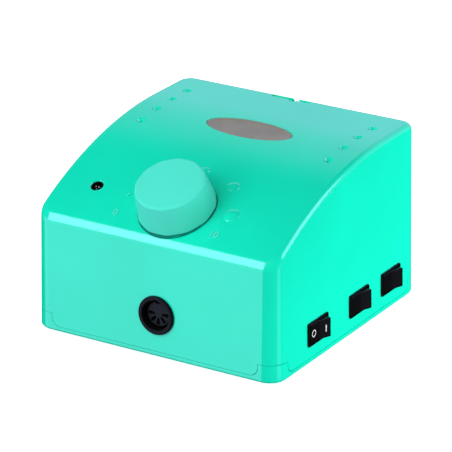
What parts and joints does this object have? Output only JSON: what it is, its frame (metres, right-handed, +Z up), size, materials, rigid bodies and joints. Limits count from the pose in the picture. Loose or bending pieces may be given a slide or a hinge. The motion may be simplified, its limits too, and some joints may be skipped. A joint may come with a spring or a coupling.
{
  "type": "nail drill control box",
  "caption": "Desktop control box of a nail drill: turquoise case with arched top, large speed knob, round motor socket, bit-holder holes and rocker switches.",
  "frame": {"origin": "on the table plane under the feet, below the middle of the whole outline", "axes": "+X to the right seen from the front, +Y from the front to the rear, +Z up"},
  "size_m": [0.1335, 0.1395, 0.0886],
  "materials": {
    "housing_shell": "glossy moulded plastic, turquoise",
    "knob_shell": "satin moulded plastic, pale turquoise",
    "black_plastic": "black moulded plastic",
    "foot_rubber": "soft black rubber",
    "steel": "zinc plated",
    "brass": "bright brass",
    "badge": "brushed grey plate",
    "lamp": "dark tinted epoxy lens",
    "fuse_glass": "clear glass tube",
    "core_steel": "varnished laminations",
    "bobbin": "cream moulded plastic",
    "tape": "yellow insulating tape",
    "board": "green coated laminate",
    "sink": "extruded aluminium",
    "package": "moulded component packages",
    "capacitor": "blue sleeved cans",
    "can": "pressed can",
    "track": "carbon film on phenolic",
    "lead_brown": "brown insulation",
    "lead_red": "red insulation",
    "lead_yellow": "yellow insulation"
  },
  "bodies": {
    "case": {"upper_housing": "housing_shell", "base_tray": "housing_shell", "rubber_feet": "foot_rubber", "case_screws": "steel", "name_badge": "badge", "pot_bushing": "brass", "pot_body": "can", "pot_track": "track", "pot_washer": "steel", "pot_nut": "steel", "pot_terminals": "steel", "lamp_lens": "lamp", "lamp_sleeve_ring": "black_plastic", "lamp_legs": "steel", "motor_socket_shell": "black_plastic", "motor_socket_core": "black_plastic", "motor_socket_contacts": "brass", "motor_socket_nut": "steel", "power_switch_body": "black_plastic", "power_switch_terminals": "brass", "direction_switch_body": "black_plastic", "direction_switch_terminals": "brass", "pedal_switch_body": "black_plastic", "pedal_switch_terminals": "brass", "mains_inlet_body": "black_plastic", "mains_inlet_pins": "steel", "mains_inlet_screws": "steel", "fuse_holder_body": "black_plastic", "fuse_holder_nut": "steel", "fuse_holder_contacts": "brass", "pedal_jack_body": "black_plastic", "pedal_jack_nut": "steel", "pedal_jack_contacts": "brass", "transformer_core": "core_steel", "transformer_bobbin": "bobbin", "transformer_winding": "tape", "transformer_strap": "steel", "transformer_screws": "steel", "control_board": "board", "board_screws": "steel", "heat_sink": "sink", "power_transistors": "package", "filter_capacitors": "capacitor", "bridge_rectifier": "package", "control_chip": "package", "board_connectors": "bobbin", "mains_leads": "lead_brown", "motor_lead": "lead_red", "signal_leads": "lead_yellow"},
    "knob": {"speed_knob": "knob_shell", "knob_insert": "brass", "pot_shaft": "steel", "pot_wiper": "brass"},
    "power_rocker": {"power_rocker": "black_plastic"},
    "direction_rocker": {"direction_rocker": "black_plastic"},
    "pedal_rocker": {"pedal_rocker": "black_plastic"},
    "fuse_carrier": {"fuse_cap": "black_plastic", "fuse": "fuse_glass"}
  },
  "joints": [
    {"name": "knob_turn", "type": "hinge", "parent": "case", "child": "knob", "pos_m": [-0.00006, -0.04849, 0.06813], "axis": [0, 0.4344, -0.9007], "range_deg": [0, 270]},
    {"name": "power_rock", "type": "hinge", "parent": "case", "child": "power_rocker", "pos_m": [0.06097, -0.03109, 0.01626], "axis": [-0.0183, 0, 0.9998], "range_deg": [0, 23]},
    {"name": "direction_rock", "type": "hinge", "parent": "case", "child": "direction_rocker", "pos_m": [0.06097, 0.00671, 0.01626], "axis": [-0.0183, 0, 0.9998], "range_deg": [0, 23]},
    {"name": "pedal_rock", "type": "hinge", "parent": "case", "child": "pedal_rocker", "pos_m": [0.06097, 0.03671, 0.01626], "axis": [-0.0183, 0, 0.9998], "range_deg": [0, 23]},
    {"name": "fuse_cap_twist", "type": "hinge", "parent": "case", "child": "fuse_carrier", "pos_m": [0.00824, 0.06356, 0.026], "axis": [0, 0.9998, 0.0183], "range_deg": [0, 60]}
  ]
}
